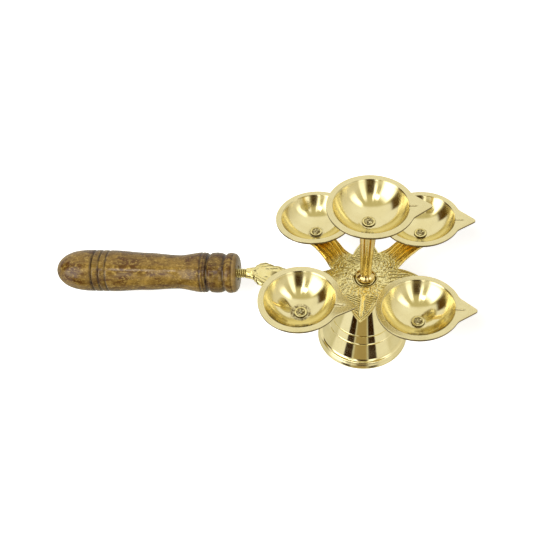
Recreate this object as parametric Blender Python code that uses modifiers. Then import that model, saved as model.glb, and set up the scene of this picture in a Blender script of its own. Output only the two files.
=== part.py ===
"""Five-cup brass hand lamp (panch aarti) with a turned wooden handle.

+X is the way the wick spouts point, the handle runs out along -X, +Z is up.
The origin is on the ground, in the middle of the lamp's length and width.
Dimensions are in millimetres and are turned into metres by MM.
"""
import math

import bmesh
import bpy
from mathutils import Euler, Matrix, Vector

MM = 0.001
GAP = 0.3                    # between two pieces that touch

# lamp axis: the line of foot, plate, post and top cup
AXIS_X = 69.0

# foot
BASE_RADIUS = 30.0
BASE_RING_HEIGHT = 5.2
BASE_CONE_FOOT = 27.2
BASE_CONE_TOP = 10.6
BASE_HEIGHT = 53.8
BASE_WALL = 1.9
BASE_HEAD = 3.6
BASE_WAIST = 0.9             # how far the cone is drawn in at half height

# star casting
PLATE_TOP = 57.2
PLATE_THICK = 2.5
PLATE_RADIUS = 21.5
PLATE_LEAN = 2.9             # degrees, down towards the handle
LEAF_TIP = 36.0
LEAF_FULL = 12.0
LEAF_RATE = 12.0
LEAF_MIDDLES = (-91.5, 4.0, 92.5)
ARM_ROOT = 19.0
ARM_WAIST = 15.2
ARM_HUB = 22.0               # where an arm leaves the plate
ARM_TURN = 3.0               # degrees, the hub of an arm past the line to its cup
PAD_RADIUS = 8.4

# handle arm and tang
HANDLE_DROP = 4.7            # degrees below level
HANDLE_X = -82.6             # front face of the wood, from the lamp axis
HANDLE_Z = 52.8
TANG_RADIUS = 3.1
TANG_REACH = 22.0

# post
POST_TOP = 105.5
POST_LOW = 57.9
POST_FOOT_RADIUS = 6.1
POST_WAIST_RADIUS = 3.55
POST_HEAD_RADIUS = 5.8
POST_BORE = 2.6

# cups
CUP_RIM = 25.7
CUP_MOUTH = 22.0
CUP_DEPTH = 13.9
CUP_FLOOR = 4.8
CUP_WALL = 1.3
RIM_THICK = 1.6
SPOUT_TIP = 34.8
SPOUT_HALF_ANGLE = 21.5      # where its straight sides leave the rim
SPOUT_NOSE = 1.7             # radius of its blunt tip
GROOVE_END = 27.5
GROOVE_WIDTH = 1.4
GROOVE_DEEP = 0.9
CUP_BORE = 2.0

# name, centre x and y from the lamp axis, rim height, lean along x and y, spout turn (degrees),
# size against the lower cups
CUPS = (
    ("top", 0.75, -0.5, 121.8, -0.6, -0.8, 5.0, 1.035),
    ("front_left", -38.3, -36.8, 75.0, -2.5, -2.0, -7.0, 1.0),
    ("front_right", 33.4, -36.8, 75.6, -3.5, 0.5, -2.0, 1.0),
    ("back_left", -36.0, 35.9, 73.8, -3.8, 3.0, 0.0, 1.0),
    ("back_right", 32.7, 38.0, 76.8, -3.5, 1.5, -1.5, 1.0),
)

# fastenings
RIVET_SHANK = 1.7
RIVET_HEAD = 2.8
HEAD_DOME = 0.7
RIVET_TAIL = 3.3
WASHER_RADIUS = 4.1
WASHER_BORE = 2.05
WASHER_THICK = 0.5
ROD_RADIUS = 2.2
NUT_ACROSS_FLATS = 9.0
NUT_HEIGHT = 4.2
BASE_WASHER_RADIUS = 6.8
BASE_WASHER_THICK = 1.4

# wooden handle, distances from its front face
HANDLE_LENGTH = 123.2
HANDLE_BORE = 4.8
HANDLE_BORE_DEPTH = 24.0
BUSH_RADIUS = 4.5
BUSH_BORE = 3.45
BUSH_START = 0.4
BUSH_LENGTH = 21.0


# ---------------------------------------------------------------- helpers

def clear_scene():
    for obj in list(bpy.data.objects):
        bpy.data.objects.remove(obj, do_unlink=True)


def make_collection(name):
    collection = bpy.data.collections.new(name)
    bpy.context.scene.collection.children.link(collection)
    return collection


def make_material(name, colour, metallic, roughness):
    material = bpy.data.materials.new(name)
    material.use_nodes = True
    shader = material.node_tree.nodes["Principled BSDF"]
    shader.inputs["Base Color"].default_value = (*colour, 1.0)
    shader.inputs["Metallic"].default_value = metallic
    shader.inputs["Roughness"].default_value = roughness
    material.diffuse_color = (*colour, 1.0)
    return material


def smooth(mesh, angle=40.0):
    mesh.shade_smooth()
    mesh.set_sharp_from_angle(angle=math.radians(angle))


def add_object(name, mesh, collection, parent=None, location=(0, 0, 0), rotation=None):
    obj = bpy.data.objects.new(name, mesh)
    collection.objects.link(obj)
    obj.parent = parent
    obj.location = Vector(location) * MM
    if rotation is not None:
        obj.rotation_mode = "XYZ"
        obj.rotation_euler = rotation
    return obj


def add_empty(name, collection, location, rotation=(0, 0, 0), parent=None):
    empty = add_object(name, None, collection, parent, location, rotation)
    empty.empty_display_size = 0.01
    return empty


def turned(name, profile, closed, steps, collection, parent=None, location=(0, 0, 0),
           rotation=None):
    """A Screw modifier round +Z on a profile of (radius, height) points.

    The profile runs down the outer side, and is closed on itself or ends on the axis.
    """
    mesh = bpy.data.meshes.new(name)
    points = [(r * MM, 0.0, z * MM) for r, z in profile]
    edges = [(i, i + 1) for i in range(len(points) - 1)]
    if closed:
        edges.append((len(points) - 1, 0))
    mesh.from_pydata(points, edges, [])
    obj = add_object(name, mesh, collection, parent, location, rotation)
    screw = obj.modifiers.new("turn", "SCREW")
    screw.axis = "Z"
    screw.angle = 2 * math.pi
    screw.steps = steps
    screw.render_steps = steps
    screw.use_merge_vertices = True
    screw.merge_threshold = 0.00001
    screw.use_smooth_shade = True
    return obj


def applied(obj):
    """Replace an object's mesh by its evaluated mesh, with doubles welded."""
    bpy.context.view_layer.update()
    graph = bpy.context.evaluated_depsgraph_get()
    mesh = bpy.data.meshes.new_from_object(obj.evaluated_get(graph))
    name = obj.name
    matrix = obj.matrix_world.copy()
    collection = obj.users_collection[0]
    bm = bmesh.new()
    bm.from_mesh(mesh)
    bmesh.ops.remove_doubles(bm, verts=bm.verts, dist=0.000005)
    bmesh.ops.recalc_face_normals(bm, faces=bm.faces)
    bm.to_mesh(mesh)
    bm.free()
    bpy.data.objects.remove(obj, do_unlink=True)
    mesh.name = name
    solid = bpy.data.objects.new(name, mesh)
    collection.objects.link(solid)
    solid.matrix_world = matrix
    return solid


def outline(name, points, thickness, collection, parent=None, location=(0, 0, 0),
            rotation=None):
    """A flat outline, extruded both ways from its own plane."""
    curve = bpy.data.curves.new(name, "CURVE")
    curve.dimensions = "2D"
    curve.fill_mode = "BOTH"
    curve.extrude = thickness / 2 * MM
    spline = curve.splines.new("POLY")
    spline.points.add(len(points) - 1)
    for knot, (x, y) in zip(spline.points, points):
        knot.co = (x * MM, y * MM, 0.0, 1.0)
    spline.use_cyclic_u = True
    obj = add_object(name, curve, collection, parent, location, rotation)
    return applied(obj)


def loft(name, sections, collection):
    """A closed skin through rings of equal length, given as lists of points."""
    bm = bmesh.new()
    rings = [[bm.verts.new(Vector(p) * MM) for p in section] for section in sections]
    count = len(rings[0])
    for here, after in zip(rings, rings[1:]):
        for i in range(count):
            j = (i + 1) % count
            bm.faces.new((here[i], here[j], after[j], after[i]))
    bm.faces.new(list(reversed(rings[0])))
    bm.faces.new(rings[-1])
    bmesh.ops.recalc_face_normals(bm, faces=bm.faces)
    mesh = bpy.data.meshes.new(name)
    bm.to_mesh(mesh)
    bm.free()
    return add_object(name, mesh, collection)


def cylinder(name, radius, depth, sides, collection, matrix):
    """A cylinder whose middle and direction are given by a matrix, in millimetres."""
    mesh = bpy.data.meshes.new(name)
    bm = bmesh.new()
    bmesh.ops.create_cone(bm, cap_ends=True, segments=sides, radius1=radius * MM,
                          radius2=radius * MM, depth=depth * MM)
    bm.to_mesh(mesh)
    bm.free()
    obj = bpy.data.objects.new(name, mesh)
    collection.objects.link(obj)
    placed = matrix.copy()
    placed.translation = matrix.translation * MM
    obj.matrix_world = placed
    return obj


def as_cutter(obj):
    obj.hide_render = True
    obj.display_type = "WIRE"
    return obj


def combine(target, tool, operation):
    step = target.modifiers.new(operation.lower() + "_" + tool.name, "BOOLEAN")
    step.operation = operation
    step.solver = "EXACT"
    step.object = tool
    as_cutter(tool)


def finish(obj, material):
    obj.data.materials.clear()
    obj.data.materials.append(material)
    if not any(m.type == "SCREW" for m in obj.modifiers):
        smooth(obj.data)


def ramp(a, b, t):
    """Smooth step from 0 at a to 1 at b."""
    u = min(1.0, max(0.0, (t - a) / (b - a)))
    return u * u * (3.0 - 2.0 * u)


def through(stations, t):
    """Smooth value at t through (position, value) stations."""
    for (t0, v0), (t1, v1) in zip(stations, stations[1:]):
        if t <= t1:
            return v0 + (v1 - v0) * ramp(t0, t1, t)
    return stations[-1][1]


# ---------------------------------------------------------------- placings

def cup_frame(entry):
    """Matrix of a cup: origin in its rim plane, Z its own axis, X along its spout."""
    _, x, y, z, lean_x, lean_y, turn, _ = entry
    up = Vector((math.tan(math.radians(lean_x)), math.tan(math.radians(lean_y)), 1.0))
    up.normalize()
    along = Vector((math.cos(math.radians(turn)), math.sin(math.radians(turn)), 0.0))
    along = (along - up * along.dot(up)).normalized()
    side = up.cross(along)
    matrix = Matrix((along, side, up)).transposed().to_4x4()
    matrix.translation = Vector((AXIS_X + x, y, z))
    return matrix


def seat_frame(entry):
    """Matrix of a cup's fastening: its own frame, moved so that the bore meets what it fastens to."""
    matrix = cup_frame(entry)
    if entry[0] == "top":
        up = matrix.col[2].xyz
        off = Vector((AXIS_X, 0.0, 0.0)) - matrix.translation
        height = -(CUP_DEPTH * entry[7] + off.x * up.x + off.y * up.y) / up.z
        seat = matrix.translation + Vector((off.x, off.y, height))
        matrix.translation = seat + up * CUP_DEPTH * entry[7]
    return matrix


def handle_frame():
    """Matrix of the handle: origin at its front face, Z along its axis to the butt."""
    matrix = Euler((0.0, -math.radians(90.0 + HANDLE_DROP), 0.0)).to_matrix().to_4x4()
    matrix.translation = Vector((AXIS_X + HANDLE_X, 0.0, HANDLE_Z))
    return matrix


def tang_height(x):
    """Height of the tang's axis at a distance x from the lamp axis."""
    return HANDLE_Z + (x - HANDLE_X) * math.tan(math.radians(HANDLE_DROP))


def plate_height(x):
    """Height of the leaning plate's middle plane at a distance x from the lamp axis."""
    return PLATE_TOP - PLATE_THICK / 2 + x * math.tan(math.radians(PLATE_LEAN))


# ---------------------------------------------------------------- foot

def build_base(parts, axis, brass):
    top = BASE_HEIGHT
    cone = []
    for i in range(7):
        t = i / 6.0
        z = BASE_RING_HEIGHT + (top - BASE_RING_HEIGHT) * (1.0 - t)
        r = BASE_CONE_TOP + (BASE_CONE_FOOT - BASE_CONE_TOP) * t
        cone.append((r - BASE_WAIST * math.sin(math.pi * t), z))
    bore = ROD_RADIUS + 0.5
    inner = [(r - BASE_WALL, z) for r, z in cone if z < top - BASE_HEAD][::-1]
    head = top - BASE_HEAD
    profile = [(bore, top)] + cone
    profile += [(BASE_CONE_FOOT + 1.0, BASE_RING_HEIGHT), (BASE_RADIUS - 1.2, BASE_RING_HEIGHT - 1.4)]
    profile += [(BASE_RADIUS, 1.6), (BASE_RADIUS, 0.0), (BASE_RADIUS - 3.2, 0.0)]
    profile += inner
    profile += [(inner[-1][0] - 1.6, head), (bore, head)]
    base = turned("base", profile, True, 40, parts, axis)
    finish(base, brass)
    return base


# ---------------------------------------------------------------- star casting

def leaf_half_width(t):
    """Half width of a leaf point at a distance t inside its tip."""
    return LEAF_FULL * (1.0 - math.exp(-t / LEAF_RATE))


def leaf_reach(angle):
    """Distance from the centre to a leaf's edge along a ray, angle from its midline."""
    low, high = 0.0, LEAF_TIP
    for _ in range(40):
        r = (low + high) / 2
        inside = leaf_half_width(max(0.0, LEAF_TIP - r * math.cos(angle))) > r * math.sin(angle)
        low, high = (r, high) if inside else (low, r)
    return low


def star_points():
    """Outline of the plate with its front, right and back leaf points."""
    points = []
    for i in range(90):
        angle = math.radians(4.0 * i)
        reach = PLATE_RADIUS
        for degrees in LEAF_MIDDLES:
            middle = math.radians(degrees)
            off = abs(math.atan2(math.sin(angle - middle), math.cos(angle - middle)))
            if off < 1.2:
                reach = max(reach, leaf_reach(off))
        points.append((reach * math.cos(angle), reach * math.sin(angle)))
    return points


def arm_sections(entry):
    """Rectangles along one arm, from inside the plate up to the middle of its pad."""
    frame = cup_frame(entry)
    up = frame.col[2].xyz
    end = frame.translation - up * (CUP_DEPTH + CUP_WALL + GAP + PLATE_THICK / 2)
    toward = math.atan2(end.y, end.x - AXIS_X) + math.radians(ARM_TURN)
    hub = Vector((AXIS_X + ARM_HUB * math.cos(toward), ARM_HUB * math.sin(toward), 0.0))
    run = Vector((end.x - hub.x, end.y - hub.y, 0.0))
    length = run.length
    run.normalize()
    across = Vector((-run.y, run.x, 0.0))
    sections = []
    for i in range(10):
        d = -8.0 + (length + 8.0) * i / 9.0
        rise = ramp(0.0, 0.62 * length, d)
        wide = ARM_WAIST + (ARM_ROOT - ARM_WAIST) * (1.0 - ramp(-4.0, 9.0, d))
        wide += (2 * PAD_RADIUS - 0.6 - ARM_WAIST) * ramp(14.0, length - 2.0, d)
        section = []
        for side, lift in ((-1, -1), (1, -1), (1, 1), (-1, 1)):
            point = hub + run * d + across * (side * wide / 2)
            seated = end.z - (up.x * (point.x - end.x) + up.y * (point.y - end.y)) / up.z
            level = plate_height(point.x - AXIS_X)
            point.z = level + (seated - level) * rise + lift * (PLATE_THICK / 2 - 0.02)
            section.append(point)
        sections.append(section)
    return sections


def handle_arm_sections():
    """Rounded sections from the plate, through the palmette swelling, to the tang."""
    half_widths = ((-76.5, 3.4), (-74.5, 3.8), (-72.5, 4.5), (-70.5, 6.6), (-68.6, 8.6),
                   (-65.6, 9.7), (-58.5, 7.9), (-48.5, 5.0), (-38.0, 4.4), (-29.0, 5.0),
                   (-20.0, 8.0), (-14.0, 8.6))
    half_thick = ((-76.5, 3.4), (-74.5, 3.5), (-71.0, 2.9), (-66.0, 2.1), (-50.0, 1.6),
                  (-28.0, 1.2), (-14.0, 1.2))
    sections = []
    count = 20
    for i in range(count + 1):
        x = -14.0 - (76.5 - 14.0) * (i / count) ** 0.9
        wide = through(half_widths, x)
        thick = through(half_thick, x)
        flat = plate_height(x)
        z = flat + (tang_height(x) - flat) * (1.0 - ramp(-74.0, -58.0, x))
        power = 2.0 + 3.0 * ramp(-75.0, -66.0, x)
        ring = []
        for k in range(16):
            a = 2 * math.pi * (k + 0.5) / 16
            c, s = math.cos(a), math.sin(a)
            y = wide * math.copysign(abs(c) ** (2.0 / power), c)
            h = thick * math.copysign(abs(s) ** (2.0 / power), s)
            ring.append((AXIS_X + x, y, z + h))
        sections.append(ring)
    return sections


def build_star(parts, cutters, brass):
    middle = PLATE_TOP - PLATE_THICK / 2
    lean = (0.0, -math.radians(PLATE_LEAN), 0.0)
    star = outline("star_plate", star_points(), PLATE_THICK, parts, None, (AXIS_X, 0, middle), lean)
    handle_arm = loft("handle_arm_form", handle_arm_sections(), cutters)
    combine(star, handle_arm, "UNION")
    tang_start = 10.0
    tang = handle_frame()
    tang.translation += tang.col[2].xyz * (TANG_REACH - tang_start) / 2
    combine(star, cylinder("tang_form", TANG_RADIUS, TANG_REACH + tang_start, 20, cutters, tang),
            "UNION")
    for entry in CUPS[1:]:
        frame = cup_frame(entry)
        seat = CUP_DEPTH + CUP_WALL + GAP + PLATE_THICK / 2
        centre = frame.copy()
        centre.translation = frame.translation - frame.col[2].xyz * seat
        arm = loft("arm_form_" + entry[0], arm_sections(entry), cutters)
        combine(star, arm, "UNION")
        pad = cylinder("pad_form_" + entry[0], PAD_RADIUS, PLATE_THICK + 0.02, 24, cutters, centre)
        combine(star, pad, "UNION")
        hole = cylinder("pad_hole_" + entry[0], CUP_BORE, 12.0, 12, cutters, centre)
        combine(star, hole, "DIFFERENCE")
    eye = Matrix.Translation(Vector((AXIS_X, 0.0, middle)))
    combine(star, cylinder("plate_hole", ROD_RADIUS + 0.4, 12.0, 16, cutters, eye), "DIFFERENCE")
    finish(star, brass)
    return star


# ---------------------------------------------------------------- post

def build_post(parts, axis, brass):
    low = POST_LOW
    profile = [(POST_BORE, POST_TOP), (POST_HEAD_RADIUS, POST_TOP)]
    for i in range(5):
        z = POST_TOP - 1.2 - (POST_TOP - 1.2 - low - 5.5) * i / 4.0
        t = (z - low - 5.5) / (POST_TOP - low - 5.5)
        profile.append((POST_WAIST_RADIUS + (POST_HEAD_RADIUS - POST_WAIST_RADIUS) * t, z))
    profile += [(POST_WAIST_RADIUS + 0.35, low + 3.6), (POST_FOOT_RADIUS - 1.1, low + 2.1),
                (POST_FOOT_RADIUS, low + 1.2), (POST_FOOT_RADIUS, low), (POST_BORE, low)]
    post = turned("post", profile, True, 28, parts, axis)
    finish(post, brass)
    return post


# ---------------------------------------------------------------- cups

def bowl_arc(rim, edge, deep, count):
    """Points of a sphere through (rim, 0) and (edge, -deep), from the rim down."""
    rise = (rim ** 2 - edge ** 2 - deep ** 2) / (2 * deep)
    radius = math.hypot(rim, rise)
    first = math.atan2(rise, rim)
    last = math.atan2(rise + deep, edge)
    points = []
    for i in range(count + 1):
        a = first + (last - first) * i / count
        points.append((radius * math.cos(a), rise - radius * math.sin(a)))
    return points


def spout_points():
    """Flat outline of the pointed spout, with its root buried in the rim."""
    half = math.radians(SPOUT_HALF_ANGLE)
    foot = Vector((CUP_RIM * math.cos(half), CUP_RIM * math.sin(half)))
    centre = Vector((SPOUT_TIP - SPOUT_NOSE, 0.0))
    away = foot - centre
    touch = math.atan2(away.y, away.x) - math.acos(SPOUT_NOSE / away.length)
    side = [tuple(foot)]
    for i in range(4):
        a = touch * (1.0 - i / 4.0)
        side.append((centre.x + SPOUT_NOSE * math.cos(a), SPOUT_NOSE * math.sin(a)))
    root = (CUP_MOUTH + CUP_RIM) / 2
    arc = []
    for i in range(7):
        a = -half + 2 * half * i / 6.0
        arc.append((root * math.cos(a), root * math.sin(a)))
    return side + [(SPOUT_TIP, 0.0)] + [(x, -y) for x, y in reversed(side)] + arc


def build_cup(entry, parts, cutters, brass):
    name = "cup_" + entry[0]
    size = entry[7]
    mouth, rim, deep = CUP_MOUTH * size, CUP_RIM * size, CUP_DEPTH * size
    inner = bowl_arc(mouth, CUP_FLOOR * size, deep, 5)
    outer = bowl_arc(mouth + CUP_WALL, CUP_FLOOR * size + 0.6, deep + CUP_WALL, 5)
    outer = [(r, z) for r, z in outer if z < -RIM_THICK - 0.6]
    neck = outer[0][0] + 0.35
    bore = CUP_BORE if entry[0] != "top" else 1.0
    profile = [(mouth, 0.0), (rim - 0.25, 0.0), (rim, -0.25), (rim, -RIM_THICK), (neck, -RIM_THICK)]
    profile += outer
    profile += [(bore, -deep - CUP_WALL), (bore, -deep)]
    profile += list(reversed(inner[1:]))
    cup = turned(name, profile, True, 32, parts)
    frame = cup_frame(entry)
    placed = frame.copy()
    placed.translation = frame.translation * MM
    cup.matrix_world = placed
    spout = outline("spout_form_" + entry[0], spout_points(), RIM_THICK - 0.04, cutters)
    lowered = frame.copy()
    lowered.translation = frame.translation - frame.col[2].xyz * RIM_THICK / 2
    lowered.translation *= MM
    spout.matrix_world = lowered @ Matrix.Diagonal((size, size, 1.0, 1.0))
    combine(cup, spout, "UNION")
    if entry[0] == "top":
        eye = seat_frame(entry)
        eye.translation -= eye.col[2].xyz * deep
        combine(cup, cylinder("cup_hole_top", ROD_RADIUS + 0.4, 8.0, 20, cutters, eye), "DIFFERENCE")
    groove = loft("groove_form_" + entry[0], [
        [(CUP_MOUTH - 1.5, -GROOVE_WIDTH / 2, 0.6), (CUP_MOUTH - 1.5, GROOVE_WIDTH / 2, 0.6),
         (CUP_MOUTH - 1.5, 0.0, -GROOVE_DEEP)],
        [(GROOVE_END, -GROOVE_WIDTH / 3, 0.6), (GROOVE_END, GROOVE_WIDTH / 3, 0.6),
         (GROOVE_END, 0.0, -0.05)],
    ], cutters)
    groove.matrix_world = placed @ Matrix.Diagonal((size, size, 1.0, 1.0))
    combine(cup, groove, "DIFFERENCE")
    finish(cup, brass)
    return cup


# ---------------------------------------------------------------- fastenings

def dome(radius, height, base, count=3):
    """Points of a low domed head from its crown down to its edge."""
    points = []
    for i in range(count + 1):
        a = math.pi / 2 * i / count
        points.append((radius * math.sin(a), base + height * math.cos(a)))
    return points


def build_washer(entry, parts, brass):
    low = -CUP_DEPTH * entry[7] + GAP
    bore = WASHER_BORE if entry[0] != "top" else ROD_RADIUS + 0.4
    profile = [(bore, low + WASHER_THICK), (WASHER_RADIUS - 0.2, low + WASHER_THICK),
               (WASHER_RADIUS, low + WASHER_THICK - 0.2), (WASHER_RADIUS, low), (bore, low)]
    washer = turned("washer_" + entry[0], profile, True, 16, parts)
    placed = seat_frame(entry)
    placed.translation = placed.translation * MM
    washer.matrix_world = placed
    finish(washer, brass)


def build_rivet(entry, parts, brass):
    under = -CUP_DEPTH - CUP_WALL - 2 * GAP - PLATE_THICK
    above = -CUP_DEPTH + 2 * GAP + WASHER_THICK
    tail = [(r, 2 * under - z) for r, z in reversed(dome(RIVET_TAIL, 1.8, under))]
    profile = dome(RIVET_HEAD, HEAD_DOME, above)
    profile += [(RIVET_SHANK, above), (RIVET_SHANK, under)] + tail
    rivet = turned("rivet_" + entry[0], profile, False, 14, parts)
    placed = cup_frame(entry)
    placed.translation = placed.translation * MM
    rivet.matrix_world = placed
    finish(rivet, brass)


def build_tie_rod(parts, axis, brass):
    above = CUPS[0][3] - CUP_DEPTH * CUPS[0][7] + 2.5 * GAP + WASHER_THICK
    foot = BASE_HEIGHT - BASE_HEAD - BASE_WASHER_THICK - NUT_HEIGHT - 2.6
    profile = dome(RIVET_HEAD, HEAD_DOME, above)
    profile += [(ROD_RADIUS, above), (ROD_RADIUS, foot + 0.5), (ROD_RADIUS - 0.5, foot), (0.0, foot)]
    finish(turned("tie_rod", profile, False, 20, parts, axis), brass)


def build_base_fixings(parts, axis, steel):
    top = BASE_HEIGHT - BASE_HEAD - GAP
    bore = ROD_RADIUS + 0.4
    low = top - BASE_WASHER_THICK
    ring = [(bore, top), (BASE_WASHER_RADIUS, top), (BASE_WASHER_RADIUS, low), (bore, low)]
    finish(turned("base_washer", ring, True, 28, parts, axis), steel)
    high = low - GAP
    corner = NUT_ACROSS_FLATS / math.sqrt(3.0)
    hexagon = [(bore, high), (corner, high), (corner, high - NUT_HEIGHT), (bore, high - NUT_HEIGHT)]
    finish(turned("base_nut", hexagon, True, 6, parts, axis), steel)


# ---------------------------------------------------------------- handle

def handle_radius(t):
    """Radius of the turned handle at a distance t from its front face."""
    grip = through(((22.5, 13.2), (39.5, 11.1), (62.0, 12.4), (84.0, 13.6), (100.0, 13.65)), t)
    butt_start = 98.0
    if t > butt_start:
        u = (t - butt_start) / (HANDLE_LENGTH - butt_start)
        grip = 13.65 * max(0.0, 1.0 - u ** 2.6) ** 0.5
    return grip


def handle_profile():
    """Outer profile from the butt down to the front face, then the bore."""
    points = [(0.0, HANDLE_LENGTH)]
    for t in (122.2, 120.0, 116.5, 111.5, 105.5, 99.0):
        points.append((handle_radius(t), t))
    for t in (90.0, 80.0, 70.0, 60.0, 50.0, 40.0, 33.0, 27.0):
        points.append((handle_radius(t), t))
    points += [(13.0, 22.6), (13.1, 20.2), (11.9, 18.8)]
    points += [(12.9, 17.1), (13.2, 14.3), (12.9, 11.1), (11.8, 9.3)]
    points += [(12.8, 7.5), (13.2, 5.0), (12.9, 2.5), (11.9, 0.8), (10.8, 0.0)]
    points += [(HANDLE_BORE, 0.0), (HANDLE_BORE, HANDLE_BORE_DEPTH), (0.0, HANDLE_BORE_DEPTH + 1.5)]
    return points


def build_handle(parts, wood, brass):
    frame = handle_frame()
    place = add_empty("handle_axis", parts, frame.translation, frame.to_euler())
    finish(turned("handle", handle_profile(), False, 28, parts, place), wood)
    end = BUSH_START + BUSH_LENGTH
    ring = [(BUSH_BORE, end), (BUSH_RADIUS, end), (BUSH_RADIUS, BUSH_START), (BUSH_BORE, BUSH_START)]
    finish(turned("handle_bush", ring, True, 24, parts, place), brass)


# ---------------------------------------------------------------- assembly

def main():
    clear_scene()
    parts = make_collection("five_cup_hand_lamp")
    cutters = make_collection("cutters")
    polished = make_material("brass_polished", (0.80, 0.66, 0.36), 1.0, 0.08)
    chased = make_material("brass_chased", (0.74, 0.62, 0.36), 1.0, 0.32)
    steel = make_material("steel_zinc", (0.62, 0.62, 0.60), 1.0, 0.35)
    wood = make_material("wood_varnished", (0.30, 0.17, 0.07), 0.0, 0.30)
    axis = add_empty("lamp_axis", parts, (AXIS_X, 0.0, 0.0))

    build_base(parts, axis, polished)
    build_star(parts, cutters, chased)
    build_post(parts, axis, polished)
    for entry in CUPS:
        build_cup(entry, parts, cutters, polished)
        build_washer(entry, parts, polished)
        if entry[0] != "top":
            build_rivet(entry, parts, polished)
    build_tie_rod(parts, axis, polished)
    build_base_fixings(parts, axis, steel)
    build_handle(parts, wood, polished)
    bpy.context.view_layer.update()


main()
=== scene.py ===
"""Looks of a five-cup brass hand lamp with a turned wooden handle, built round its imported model.

Sizes are in millimetres in the row frame: +X is the way the spouts point, +Z is up, and the
handle runs out along -X. Each visible piece stands for the CAD node or nodes that it replaces.
"""

from collections import namedtuple
from math import acos, atan2, cos, copysign, hypot, pi, radians, sin, sqrt, tan

import bmesh
import bpy
import numpy as np
from mathutils import Euler, Matrix, Vector, kdtree, noise
from mathutils.geometry import delaunay_2d_cdt


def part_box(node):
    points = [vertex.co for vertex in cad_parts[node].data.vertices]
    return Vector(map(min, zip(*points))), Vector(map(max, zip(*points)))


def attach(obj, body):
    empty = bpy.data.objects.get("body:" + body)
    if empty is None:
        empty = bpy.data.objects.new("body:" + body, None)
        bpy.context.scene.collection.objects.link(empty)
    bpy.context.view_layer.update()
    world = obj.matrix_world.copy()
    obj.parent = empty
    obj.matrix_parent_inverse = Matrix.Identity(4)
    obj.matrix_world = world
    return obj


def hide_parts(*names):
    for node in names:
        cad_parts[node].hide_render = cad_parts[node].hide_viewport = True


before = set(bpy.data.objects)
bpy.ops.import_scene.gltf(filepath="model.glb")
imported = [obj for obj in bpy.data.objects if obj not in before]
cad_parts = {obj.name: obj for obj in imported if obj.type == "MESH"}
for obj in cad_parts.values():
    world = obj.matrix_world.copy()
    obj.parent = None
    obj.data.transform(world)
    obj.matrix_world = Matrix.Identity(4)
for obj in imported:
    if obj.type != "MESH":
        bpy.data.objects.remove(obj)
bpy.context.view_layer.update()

MM = 0.001
LAMP, BUSH, HANDLE = "lamp", "bush_body", "handle_body"


def middle(node):
    low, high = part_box(node)
    return (low + high) / 2 / MM


AXIS_X = middle("base").x            # the line of foot, plate, post and top cup

# foot
BASE_HEIGHT = 53.8
BASE_BAND = 5.2                      # height of the band round the foot
BASE_RADIUS = 30
BASE_CONE_FOOT = 27.2
BASE_CONE_TOP = 10.6
BASE_WAIST = 0.9
BASE_WALL = 1.9
BASE_HEAD = 3.6
BASE_LINES = (22.3, 16.6)            # heights of the turned lines on the cone

# star casting
PLATE_TOP = 57.2
PLATE_THICK = 2.5
PLATE_RADIUS = 21.5
PLATE_LEAN = 2.9
LEAF_TIP = 36
LEAF_FULL = 12
LEAF_RATE = 12
LEAF_MIDDLES = (-91.5, 4, 92.5)
ARM_ROOT = 19
ARM_WAIST = 15.2
ARM_HUB = 22
ARM_TURN = 3
PAD_RADIUS = 8.4

# handle arm, tang and wood
HANDLE_DROP = 4.7
HANDLE_X = -82.6
HANDLE_Z = 52.8
TANG_RADIUS = 3.1
TANG_REACH = 22
THREAD_PITCH = 1.27
HANDLE_LENGTH = 123.2
HANDLE_BORE = 4.8
HANDLE_BORE_DEPTH = 24

# post
POST_TOP = 105.5
POST_LOW = 57.9
POST_BORE = 2.6

# cups
CUP_RIM = 25.7
CUP_MOUTH = 22
CUP_DEPTH = 13.9
CUP_FLOOR = 4.8
CUP_WALL = 1.3
RIM_THICK = 1.6
SPOUT_TIP = 34.8
SPOUT_HALF_ANGLE = 21.5              # where its straight sides leave the rim
SPOUT_NOSE = 1.7                     # radius of its blunt tip

# centre x and y from the lamp axis, rim height, lean along x and y and the spout's turn (degrees),
# and size against the lower cups
Cup = namedtuple("Cup", "name x y height lean_x lean_y turn size")
CUPS = (
    Cup("top", 0.75, -0.5, 121.8, -0.6, -0.8, 5, 1.035),
    Cup("front_left", -38.3, -36.8, 75, -2.5, -2, -7, 1),
    Cup("front_right", 33.4, -36.8, 75.6, -3.5, 0.5, -2, 1),
    Cup("back_left", -36, 35.9, 73.8, -3.8, 3, 0, 1),
    Cup("back_right", 32.7, 38, 76.8, -3.5, 1.5, -1.5, 1),
)

# fastenings
GAP = 0.3
ROD_RADIUS = 2.2
ROD_PITCH = 0.7
RIVET_SHANK = 1.7
RIVET_HEAD = 2.8
HEAD_DOME = 0.7
RIVET_TAIL = 3.3
WASHER_RADIUS = 4.1
WASHER_THICK = 0.5
NUT_ACROSS_FLATS = 9
NUT_HEIGHT = 4.2
BASE_WASHER_RADIUS = 6.8
BASE_WASHER_THICK = 1.4


# ---------------------------------------------------------------- arithmetic

def ramp(a, b, t):
    """Smooth step from 0 at a to 1 at b, on numbers or arrays."""
    u = np.clip((np.asarray(t, float) - a) / (b - a), 0, 1)
    return u * u * (3 - 2 * u)


def through(stations, t):
    """Smooth value at t through (position, value) stations, on numbers or arrays."""
    t = np.asarray(t, float)
    value = np.full(t.shape, float(stations[0][1]))
    for (t0, v0), (t1, v1) in zip(stations, stations[1:]):
        value = value + (v1 - v0) * ramp(t0, t1, t)
    return value


def bump(t, centre, half):
    """A smooth hump of height 1 at centre that is gone half away from it."""
    return 1 - ramp(0, half, np.abs(np.asarray(t, float) - centre))


def rough(points, size, seed=0):
    """Smooth random values, about -1 to 1, at points in millimetres."""
    shift = Vector((seed * 17.3, seed * 5.1, seed * 9.7))
    return np.array([noise.noise(Vector(p) / size + shift) for p in points])


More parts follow.
